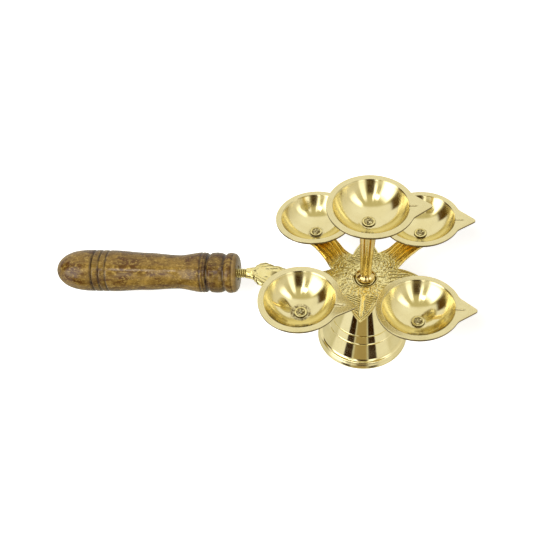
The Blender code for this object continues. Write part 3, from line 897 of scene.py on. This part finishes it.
def build_handle_arm():
    half_widths = ((-76.5, 3.4), (-74.5, 3.8), (-72.5, 4.5), (-70.5, 6.6), (-68.6, 8.6),
                   (-65.6, 9.7), (-58.5, 7.9), (-48.5, 5), (-38, 4.4), (-29, 5),
                   (-20, 8), (-14, 8.6))
    half_thick = ((-76.5, 3.4), (-74.5, 3.5), (-71, 2.9), (-66, 2.1), (-50, 1.6),
                  (-28, 1.2), (-14, 1.2))
    stations, around = 170, 72
    verts, relief = [], []
    for i in range(stations + 1):
        x = -15 - (77 - 15) * (i / stations)
        wide = float(through(half_widths, x))
        thick = float(through(half_thick, x))
        flat = plate_level(x) - PLATE_THICK / 2
        tang = HANDLE_Z + (x - HANDLE_X) * tan(radians(HANDLE_DROP))
        z = flat + (tang - flat) * float(1 - ramp(-74, -58, x))
        power = 2 + 2.2 * float(ramp(-75, -66, x))
        for k in range(around):
            a = 2 * pi * (k + 0.5) / around
            c, s = cos(a), sin(a)
            y = wide * copysign(abs(c) ** (2 / power), c)
            h = thick * copysign(abs(s) ** (2 / power), s)
            cut = palmette(x, y, wide) if s > -0.2 else 0
            dot = rough([(x, y, h)], 0.8, 6)[0] * 0.05
            lift = -0.4 * cut * max(0, s) ** 0.5 + dot if s > 0 else dot
            verts.append((AXIS_X + x, y - 0.15 * cut * c, z + h + lift))
            relief.append(1 - 0.8 * cut)
    faces = grid_faces(stations + 1, around, False)
    faces.append(list(range(around))[::-1])
    faces.append([stations * around + k for k in range(around)])
    piece("handle_arm", verts, faces, Matrix.Identity(4), LAMP, CAST,
          {"relief": relief}, 60)


def palmette(x, y, wide):
    """Depth of the chased palmette on the handle arm, 0 high to 1 deep."""
    fan = atan2(abs(y), x + 79)
    ribs = float(groove((fan * 6.5) % 1 - 0.5, 0.36)) * float(ramp(-75.5, -73.5, x))
    ribs *= float(1 - ramp(-58, -55, x))
    veins = float(groove(((x + 50) * 0.5 + abs(y) * 0.7) % 1.7 - 0.85, 0.5)) * float(ramp(-58, -55, x))
    border = float(groove(wide - abs(y) - 1.2, 0.5)) * float(ramp(-74.5, -72.5, x))
    spine = float(groove(abs(y) - 0.7, 0.4)) * float(ramp(-72.5, -70, x))
    return max(0.9 * ribs, 0.85 * veins, border, spine) * float(1 - ramp(-21, -18, x))


def build_tang():
    """The round neck behind the palmette and the screw that runs into the handle."""
    start, thread_start, root = -8.2, -5.6, 3.55
    neck = ((start, root), (-6.6, 3.3), (-5.8, TANG_RADIUS))
    profile = [(0, start), (root, start)]
    for i in range(1, 9):
        z = start + 2.4 * i / 8
        profile.append((float(through(neck, z)), z))
    step = 0.11                      # close rows for the thread
    rows = int((TANG_REACH - 0.4 - thread_start) / step)
    profile += [(TANG_RADIUS, thread_start + step * i) for i in range(1, rows)]
    profile += [(TANG_RADIUS - 0.5, TANG_REACH), (0, TANG_REACH)]

    def shape(verts):
        return threaded(verts, thread_start + 0.6, TANG_REACH - 1.2, THREAD_PITCH, 0.55, TANG_RADIUS)

    def relief(verts):
        return np.clip((radius_of(verts) - TANG_RADIUS + 0.75) / 0.75, 0.3, 1)

    turned_piece("tang_thread", profile, 64, False, handle_frame(), LAMP, CAST,
                 shape, {"relief": relief}, 60)


# ---------------------------------------------------------------- post

def build_post():
    low = POST_LOW
    profile = [(POST_BORE, POST_TOP), (5.8, POST_TOP, 0.4)]
    neck = ((0, 5.8), (0.10, 5.35), (0.35, 4.75), (0.7, 3.95), (1, 3.55))
    rows = 24
    for i in range(1, rows + 1):
        t = i / rows
        z = POST_TOP - 0.9 - (POST_TOP - 0.9 - low - 5.6) * t
        profile.append((float(np.interp(t, *zip(*neck))), z))
    profile += [(3.65, low + 4.9), (3.9, low + 4.3), (4.6, low + 3.5), (5.4, low + 2.95),
                (5.75, low + 2.5), (6.1, low + 1.7), (6.1, low + 0.9, 0.3), (5.7, low + 0.5, 0.2),
                (5.7, low), (POST_BORE, low)]
    mark_turning(turned_piece("post", filleted(profile), 96, True, AXIS_FRAME, LAMP,
                              POST, None, {"satin": lambda verts: 0 * verts[:, 0]}, 40))


# ---------------------------------------------------------------- cups

def bore_of(cup, lower):
    """Radius of the hole in a cup or its washer; the top ones pass the tie rod."""
    return ROD_RADIUS + 0.4 if cup.name == "top" else lower


def spout_reach(angles):
    """Distance from a cup's axis to its outer edge, along each angle from the spout's middle."""
    half = radians(SPOUT_HALF_ANGLE)
    foot = Vector((CUP_RIM * cos(half), CUP_RIM * sin(half)))
    centre = Vector((SPOUT_TIP - SPOUT_NOSE, 0))
    away = foot - centre
    touch = atan2(away.y, away.x) - acos(SPOUT_NOSE / away.length)
    turn = np.linspace(0, touch, 16)
    nose = [centre.x + SPOUT_NOSE * np.cos(turn), SPOUT_NOSE * np.sin(turn)]
    share = np.linspace(0, 1.12, 120)[1:]
    x = np.concatenate([nose[0], nose[0][-1] + (foot.x - nose[0][-1]) * share])
    y = np.concatenate([nose[1], nose[1][-1] + (foot.y - nose[1][-1]) * share])
    off = np.abs((angles + pi) % (2 * pi) - pi)
    side = np.interp(off, np.arctan2(y, x), np.hypot(x, y), right=0)
    swell = np.maximum(CUP_RIM, side)
    blend = 0.5 * np.clip(1 - np.abs(side - CUP_RIM) / 1.4, 0, 1) ** 2 * 0.35
    return swell + blend


def cup_angles():
    """Angles round a cup, close together at the spout."""
    side = [0.5 * i for i in range(1, 9)] + [4 + 1.3 * i for i in range(1, 21)]
    rest = 180 - side[-1]
    side += [side[-1] + rest * i / 52 for i in range(1, 52)]
    return np.radians([-a for a in reversed(side)] + [0] + side + [180])


def bowl_arc(rim, edge, deep, count):
    """Points of a sphere through (rim, 0) and (edge, -deep), from the rim down."""
    rise = (rim ** 2 - edge ** 2 - deep ** 2) / (2 * deep)
    radius = hypot(rim, rise)
    first = atan2(rise, rim)
    last = atan2(rise + deep, edge)
    spots = [first + (last - first) * i / count for i in range(count + 1)]
    return [(radius * cos(a), rise - radius * sin(a)) for a in spots]


BOWL_ROWS = 50                       # rows of cup_rows from the bore up to the rim
# radius of the beaten ground round each fastening, its strength, and a turned line outside it
BEATEN = {"top": (4.6, 0.25, 5.6), "front_left": (6.3, 1, 7), "front_right": (4.8, 0.35, 6.3),
          "back_left": (5.2, 0.45, 6.8), "back_right": (4.4, 0.5, 6.2)}


def cup_rows(bore, size):
    """(radius, height, share of the spout's stretch, satin, darkening) from the bore up, over and
    under; the darkening near the mouth, on the lip and at the rim's outer edge is painted dark
    reflection, and the cup is also darker under the flange.
    """
    mouth, rim, deep = CUP_MOUTH * size, CUP_RIM * size, CUP_DEPTH * size
    arc = bowl_arc(mouth, CUP_FLOOR * size, deep, 40)[::-1]
    rows = [(bore + (arc[0][0] - bore) * i / 9, -deep, 0, 0, 0) for i in range(9)]
    for r, z in arc[:-1]:
        # painted dark reflection: the bowl wall darkens towards the mouth
        near_rim = float(ramp(0.62, 0.95, r / mouth))
        rows.append((r, z, 0, 0.3 * near_rim, 0.15 * near_rim))
    # the lip is darkened too: painted dark reflection
    rows += [(mouth + 0.02, -0.22, 0, 0.3, 0.35), (mouth + 0.12, -0.07, 0, 0.6, 0.3),
             (mouth + 0.32, 0, 0.02, 1, 0.05)]
    flat = mouth + 0.32
    for i in range(1, 12):
        r = flat + (rim - 0.35 - flat) * i / 11
        rows.append((r, 0, (r - flat) / (rim - flat), 1, 0.07))
    # the rim's outer edge is darkened: a painted dark reflection line
    rows += [(rim - 0.1, -0.1, 0.99, 1, 0.1), (rim, -0.35, 1, 1, 0.7), (rim + 0.02, -0.6, 1, 1, 1),
             (rim, -RIM_THICK + 0.35, 1, 1, 1), (rim - 0.12, -RIM_THICK + 0.08, 0.99, 1, 1)]
    outer = bowl_arc(mouth + CUP_WALL, CUP_FLOOR * size + 0.6, deep + CUP_WALL, 30)
    outer = [p for p in outer if p[1] < -RIM_THICK - 0.7]
    neck = outer[0][0] + 0.3
    for i in range(8):
        r = rim - 0.4 + (neck - rim + 0.4) * i / 7
        rows.append((r, -RIM_THICK, (r - neck) / (rim - neck), 1, 0.45))
    rows.append((outer[0][0] + 0.08, -RIM_THICK - 0.3, 0, 1, 0.6))
    rows += [(r, z, 0, 1, 0.15) for r, z in outer]
    rows += [(bore, -deep - CUP_WALL, 0, 1, 0.3)]
    return rows


def build_cup(cup, seed):
    size = cup.size
    rows = cup_rows(bore_of(cup, 2), size)
    angles = cup_angles()
    count = len(angles)
    stretch = spout_reach(angles) * size - CUP_RIM * size
    place = cup_frame(cup)
    shift = place.inverted() @ seat_frame(cup).translation
    verts, satin, aged_and_shaded = [], [], []
    for r, z, share, dull, age_and_shade in rows:
        reach = r + share * stretch
        near = float(ramp(8, 3, r))
        x = reach * np.cos(angles) + shift.x * near
        y = reach * np.sin(angles) + shift.y * near
        on_top = 1 if -0.5 < z and r > CUP_MOUTH * size - 0.1 else 0
        fold = np.exp(-(y / 0.5) ** 2) * ramp(28.6, 25, x) * ramp(15, 21, x)
        ridge = np.exp(-((y + 1.15) / 0.45) ** 2) * ramp(28, 24, x) * ramp(15, 21, x)
        dish = 0.25 * np.exp(-(y / 3.2) ** 2) * ramp(33, 25, x) * ramp(15, 21, x)
        verts += list(zip(x, y, z - (0.8 * fold - 0.22 * ridge + dish) * on_top))
        satin += [dull] * count
        aged_and_shaded += list(np.clip(age_and_shade + 0.9 * fold * on_top, 0, 1))
    verts = np.array(verts)
    satin, aged_and_shaded = np.array(satin, float), np.array(aged_and_shaded, float)
    wave = rough(verts * (1, 1, 0.5), 13, seed) * 0.05 + rough(verts, 5, seed + 3) * 0.012
    r = radius_of(verts)
    inside = np.repeat([k < BOWL_ROWS for k in range(len(rows))], count)
    wall = ramp(6, 9, r)
    verts = widened(verts, 1 + 0.5 * wave * wall / np.maximum(r, 1))
    verts[:, 2] += wave * wall
    ground, strength, line = BEATEN[cup.name]
    away = np.hypot(verts[:, 0] - shift.x, verts[:, 1] - shift.y)
    zone = ramp(ground + 0.6, ground - 0.6, away) * inside
    blows = rough(verts * (1, 1, 0), 1.15, seed + 6)
    verts[:, 2] -= zone * strength * (0.3 * np.abs(blows) + 0.06 * rough(verts, 0.6, seed + 7))
    verts[:, 2] -= 0.05 * np.exp(-((away - line) / 0.22) ** 2) * inside
    aged_and_shaded = np.clip(aged_and_shaded + zone * strength * (0.2 + 0.7 * ramp(-0.15, 0.3, blows)), 0, 1)
    satin = np.clip(satin + zone * (0.3 + 0.5 * strength), 0, 1)
    mark_turning(piece("cup_" + cup.name, verts, grid_faces(len(rows), count, True), place, LAMP,
                       MIRROR, values={"satin": satin, "aged_and_shaded": aged_and_shaded}, sharp=32))


# ---------------------------------------------------------------- fastenings

def dome(radius, height, base, count=8):
    spots = [pi / 2 * i / count for i in range(count + 1)]
    return [(radius * sin(a), base + height * cos(a)) for a in spots]


def beaten(seed, size, depth):
    """A shape that dents points as a hammer does, most where the surface looks up or down."""
    def shape(verts):
        out = widened(verts, 1 + 0.05 * rough(verts, size * 1.6, seed + 1))
        out[:, 2] -= depth * np.abs(rough(verts, size, seed))
        return out
    return shape


def build_washer(cup, seed):
    low = -CUP_DEPTH * cup.size + GAP
    bore = bore_of(cup, 2.05)
    profile = filleted([(bore, low + WASHER_THICK), (WASHER_RADIUS, low + WASHER_THICK, 0.3),
                        (WASHER_RADIUS, low, 0.1), (bore, low)])

    def relief(verts):
        return 0.25 + 0.75 * ramp(WASHER_RADIUS, WASHER_RADIUS - 0.5, radius_of(verts))

    turned_piece("washer_" + cup.name, profile, 48, True, seat_frame(cup), LAMP, CAST,
                 beaten(seed, 1.3, 0.08), {"relief": relief})


def build_rivet(cup, seed):
    under = -CUP_DEPTH - CUP_WALL - 2 * GAP - PLATE_THICK
    above = -CUP_DEPTH + 2 * GAP + WASHER_THICK
    tail = [(r, 2 * under - z) for r, z in reversed(dome(RIVET_TAIL, 1.8, under))]
    profile = dome(RIVET_HEAD, HEAD_DOME, above)
    profile += [(RIVET_SHANK, above), (RIVET_SHANK, under)] + tail
    turned_piece("rivet_" + cup.name, profile, 48, False, cup_frame(cup), LAMP,
                 HAMMERED, beaten(seed, 1, 0.6))


def build_tie_rod():
    above = CUPS[0].height - CUP_DEPTH * CUPS[0].size + 2.5 * GAP + WASHER_THICK
    foot = BASE_HEIGHT - BASE_HEAD - BASE_WASHER_THICK - NUT_HEIGHT - 2.6
    profile = dome(RIVET_HEAD, HEAD_DOME, above)
    profile += [(ROD_RADIUS, above), (ROD_RADIUS, foot + 14)]
    step = 0.07                      # close rows for the thread on the lowest 14 mm
    profile += [(ROD_RADIUS, foot + 14 - step * i) for i in range(1, int(13.3 / step))]
    profile += [(ROD_RADIUS - 0.5, foot), (0, foot)]
    dent = beaten(9, 1, 0.6)

    def shape(verts):
        cut = threaded(verts, foot + 0.8, foot + 13, ROD_PITCH, 0.32, ROD_RADIUS)
        head = verts[:, 2] > above - 0.01
        cut[head] = dent(verts)[head]
        return cut

    turned_piece("tie_rod", profile, 48, False, AXIS_FRAME, LAMP, HAMMERED, shape)


def build_base_fixings():
    top = BASE_HEIGHT - BASE_HEAD - GAP
    bore = ROD_RADIUS + 0.4
    low = top - BASE_WASHER_THICK
    ring = filleted([(bore, top), (BASE_WASHER_RADIUS, top, 0.3),
                     (BASE_WASHER_RADIUS, low, 0.3), (bore, low)])
    turned_piece("base_washer", ring, 64, True, AXIS_FRAME, LAMP, STEEL)
    high = low - GAP
    floor = high - NUT_HEIGHT
    corner = NUT_ACROSS_FLATS / sqrt(3)
    inner = [(bore, floor + NUT_HEIGHT * i / 48) for i in range(49)]
    outer = [(corner - 0.5, high), (corner, high - 0.25), (corner, high - 0.8), (corner, floor + 0.8),
             (corner, floor + 0.25), (corner - 0.5, floor)]

    def shape(verts):
        r = radius_of(verts)
        a = np.arctan2(verts[:, 1], verts[:, 0])
        flats = NUT_ACROSS_FLATS / 2 / np.cos((a + pi / 6) % (pi / 3) - pi / 6)
        ends = np.minimum(verts[:, 2] - floor, high - verts[:, 2])
        chamfer = corner - 0.55 + ends * 1.7
        reach = np.where(r > bore + 0.5, np.minimum.reduce([flats, chamfer, r]), r)
        return threaded(widened(verts, reach / r), floor + 0.3, high - 0.3, ROD_PITCH, -0.25, bore)

    turned_piece("base_nut", outer + inner, 96, True, AXIS_FRAME, LAMP, STEEL, shape,
                 sharp=25)


# ---------------------------------------------------------------- handle

# distance from the front face, half width, strength of each burned ring
BURNED = ((2.8, 0.4, 0.8), (8.3, 1.3, 0.9), (19.2, 1.4, 1), (21.3, 0.5, 0.95), (23.4, 0.8, 0.9),
          (86.6, 0.8, 0.95), (91.2, 1.1, 1), (96.1, 1.3, 1), (14, 6.5, 0.4), (91.5, 6, 0.35))
CUT_LINES = ((86.6, 0.5), (91.2, 0.7), (96.1, 0.8), (23.4, 0.35), (21.3, 0.2), (2.8, 0.15))
FRONT = ((0, 10.8), (0.5, 11.6), (1.3, 12.4), (2.6, 12.95), (4.6, 13.2), (6.4, 12.9), (7.5, 12),
         (8.3, 11.75), (9.1, 12.2), (10.7, 12.95), (13.8, 13.2), (16.9, 13), (18.4, 12), (19.2, 11.7),
         (20, 12.6), (20.7, 13.1), (23.2, 13.15))


def handle_radius(t):
    """Radius of the turned handle at distances t from its front face."""
    t = np.asarray(t, float)
    grip = through(((22.5, 13.2), (39.5, 11.1), (62, 12.4), (84, 13.6), (100, 13.65)), t)
    u = np.clip((t - 98) / (HANDLE_LENGTH - 98), 0, 1)
    grip = np.where(t > 98, 13.65 * np.sqrt(1 - u ** 2.6), grip)
    radius = np.where(t < 22.8, np.interp(t, *zip(*FRONT)), grip)
    for line, depth in CUT_LINES:
        radius = radius - depth * bump(t, line, 0.95)
    return radius


def build_handle():
    rows = np.concatenate([np.arange(HANDLE_LENGTH, HANDLE_LENGTH - 6, -0.25),
                           np.arange(HANDLE_LENGTH - 6, 25, -0.5), np.arange(25, 0, -0.25)])
    profile = [(0, HANDLE_LENGTH)]
    profile += [(float(handle_radius(t)), float(t)) for t in rows if t < HANDLE_LENGTH - 0.01]
    profile += [(FRONT[0][1], 0), (HANDLE_BORE + 0.3, 0), (HANDLE_BORE, 0.3)]
    profile += [(HANDLE_BORE, HANDLE_BORE_DEPTH), (0, HANDLE_BORE_DEPTH + 1.5)]

    def shape(verts):
        r = radius_of(verts)
        wave = rough(verts * (1, 1, 0.25), 9, 5) * 0.09
        outside = r > HANDLE_BORE + 1
        return widened(verts, 1 + np.where(outside, wave / np.maximum(r, 1), 0))

    def burn(verts):
        t = verts[:, 2]
        mark = np.zeros(len(verts))
        uneven = 0.75 + 0.35 * rough(verts, 4, 8)
        for place, half, strength in BURNED:
            mark = np.maximum(mark, strength * bump(t, place, half * 1.5) * uneven)
        return np.clip(mark * (radius_of(verts) > HANDLE_BORE + 0.5), 0, 1)

    def bare(verts):
        return 0.45 * ramp(2.9, 1.8, verts[:, 2])

    turned_piece("handle", profile, 112, False, handle_frame(), HANDLE, WOOD,
                 shape, {"burn": burn, "bare": bare}, 45)


def build_bush():
    """The brass bush pressed into the handle, threaded inside."""
    start, end = 0.4, 21.4
    bore, outside, step = 3.45, 4.5, 0.12
    inner = [(bore, end - step * i) for i in range(int((end - start) / step))]
    profile = [(outside - 0.4, start), (outside, start + 0.4), (outside, end)] + inner + [(bore, start)]

    def shape(verts):
        return threaded(verts, start + 1, end - 1, THREAD_PITCH, 0.2, bore)

    turned_piece("handle_bush", profile, 64, True, handle_frame(), BUSH, HAMMERED,
                 shape)


# ---------------------------------------------------------------- stage

def build_floor():
    half_side, drop = 6, 0.0002      # metres; the floor lies just under the foot
    mesh = bpy.data.meshes.new("floor")
    corners = [(x * half_side, y * half_side, 0) for x, y in ((-1, -1), (1, -1), (1, 1), (-1, 1))]
    mesh.from_pydata(corners, [], [(0, 1, 2, 3)])
    mesh.materials.append(floor_paper("floor_paper"))
    floor = bpy.data.objects.new("floor", mesh)
    STAGE.objects.link(floor)
    floor.location.z = -drop
    floor.visible_glossy = False     # its white glow would drown the brass


# panels and cards of a plain studio: azimuth of the middle, half width, soft edge,
# lower edge, upper edge and their softness (degrees), and brightness; lamps are above 1 and white,
# walls and cards are below 1 and the warmer the dimmer they are
STUDIO = (
    (90, 85, 25, -20, 60, 18, 0.92),
    (-10, 40, 25, -20, 40, 20, 0.82),
    (-20, 10, 5, 30, 65, 8, 2.2),
    (-60, 7, 4, 5, 60, 10, 1.7),
    (-100, 4, 3, 15, 60, 8, 2.6),
    (-140, 18, 6, -5, 45, 12, 3),
    (-115, 8, 3, 45, 55, 3, 5),
    (-85, 12, 4, -5, 45, 6, 0.05),
    (180, 15, 4, 0, 35, 5, 0.1),
    (-145, 20, 5, -60, -5, 3, 0.95),
    (-90, 16, 3, -45, -5, 3, 0.4),
    (-35, 20, 5, -45, -5, 3, 0.9),
    (-120, 10, 2, -45, -5, 3, 0.03),
    (-60, 10, 2, -45, -5, 3, 0.03),
)


LOW_WALL, HIGH_WALL, CEILING = (0.66, 0.63, 0.50), (0.95, 0.93, 0.86), (0.58, 0.52, 0.31)
FILL = (0.42, 0.40, 0.36)            # the even light on matt surfaces


def build_world():
    """A soft studio all round: pale walls, a dull ceiling, and the panels and cards.

    The camera sees plain white behind the object, and matt surfaces get one even fill light."""
    world = bpy.data.worlds.new("studio")
    bpy.context.scene.world = world
    n = Nodes(world)
    n.tree.nodes.clear()
    x, y, z, flat = n.parts(n.new("TexCoord", {}, "Generated"))
    flat = n.math("MAXIMUM", flat, 0.001)
    front = n.math("SUBTRACT", n.times(x, 0.05), n.times(y, 1))
    front = n.math("SUBTRACT", front, n.times(z, 0.14))
    colour = n.mix(n.spread(z, -0.3, 0.3), LOW_WALL, HIGH_WALL)
    ceiling = n.times(n.spread(front, -0.04, 0.05), n.spread(z, 0.1, 0.4))
    colour = n.mix(ceiling, colour, CEILING)
    for azimuth, half, soft, low, high, fade, level in STUDIO:
        a = radians(azimuth)
        side = n.plus(n.times(x, cos(a)), n.times(y, sin(a)))
        side = n.math("DIVIDE", side, flat)
        inside = n.spread(side, cos(radians(min(180, half + soft))), cos(radians(half - soft)))
        above = n.spread(z, sin(radians(low - fade)), sin(radians(low + fade)))
        below = n.spread(z, sin(radians(high + fade)), sin(radians(high - fade)))
        mask = n.times(inside, n.times(above, below))
        dim = min(1, level)
        colour = n.mix(mask, colour, (level, level * dim ** 0.3, level * dim ** 1.2))
    shown = n.mix(n.new("LightPath", {}, "Is Diffuse Ray"), colour, FILL)
    shown = n.mix(n.new("LightPath", {}, "Is Camera Ray"), shown, (1, 1, 1))
    output = n.tree.nodes.new("ShaderNodeOutputWorld")
    n.fill(output, {"Surface": n.new("Background", {"Color": shown})})


LAMP_ACROSS = 0.3
LAMP_WATTS = 8
LAMP_PLACE = Vector((-0.17, -0.49, 0.68))
LAMP_AIM = Vector((-0.10, 0, 0.05))


def build_lamp():
    """One large soft lamp, above and to the left of the camera; polished metal doesn't mirror it."""
    data = bpy.data.lights.new("soft_lamp", "AREA")
    data.shape = "DISK"
    data.size = LAMP_ACROSS
    data.energy = LAMP_WATTS
    lamp = bpy.data.objects.new("soft_lamp", data)
    STAGE.objects.link(lamp)
    lamp.visible_glossy = False
    turn = (LAMP_PLACE - LAMP_AIM).to_track_quat("Z", "Y").to_matrix().to_4x4()
    lamp.matrix_world = Matrix.Translation(LAMP_PLACE) @ turn


# the view of the photograph
VIEW_AZIMUTH = 8.4
VIEW_ELEVATION = 48.06
VIEW_ROLL = -2
VIEW_DISTANCE = 650
VIEW_TARGET = Vector((13.73, 0, 48.99))
VIEW_LENS = 64.1


def build_camera():
    az, el, roll = (radians(v) for v in (VIEW_AZIMUTH, VIEW_ELEVATION, VIEW_ROLL))
    back = Vector((sin(az) * cos(el), -cos(az) * cos(el), sin(el)))
    right = Vector((cos(az), sin(az), 0))
    up = back.cross(right)
    across = right * cos(roll) + up * sin(roll)
    above = up * cos(roll) - right * sin(roll)
    data = bpy.data.cameras.new("camera")
    data.lens = VIEW_LENS
    data.sensor_width = 36
    data.clip_start = 0.01
    data.clip_end = 100
    camera = bpy.data.objects.new("camera", data)
    STAGE.objects.link(camera)
    place = Matrix((across, above, back)).transposed().to_4x4()
    place.translation = (VIEW_TARGET + back * VIEW_DISTANCE) * MM
    camera.matrix_world = place
    bpy.context.scene.camera = camera


CUP_SEED, WASHER_SEED, RIVET_SEED = 1, 11, 21


def main():
    build_camera()
    build_world()
    build_floor()
    build_lamp()
    bpy.context.scene.view_settings.view_transform = "Standard"
    build_base()
    build_star()
    build_handle_arm()
    build_tang()
    build_post()
    for seed, cup in enumerate(CUPS):
        build_cup(cup, seed + CUP_SEED)
        build_washer(cup, seed + WASHER_SEED)
        if cup.name != "top":
            build_rivet(cup, seed + RIVET_SEED)
    build_tie_rod()
    build_base_fixings()
    build_handle()
    build_bush()


main()
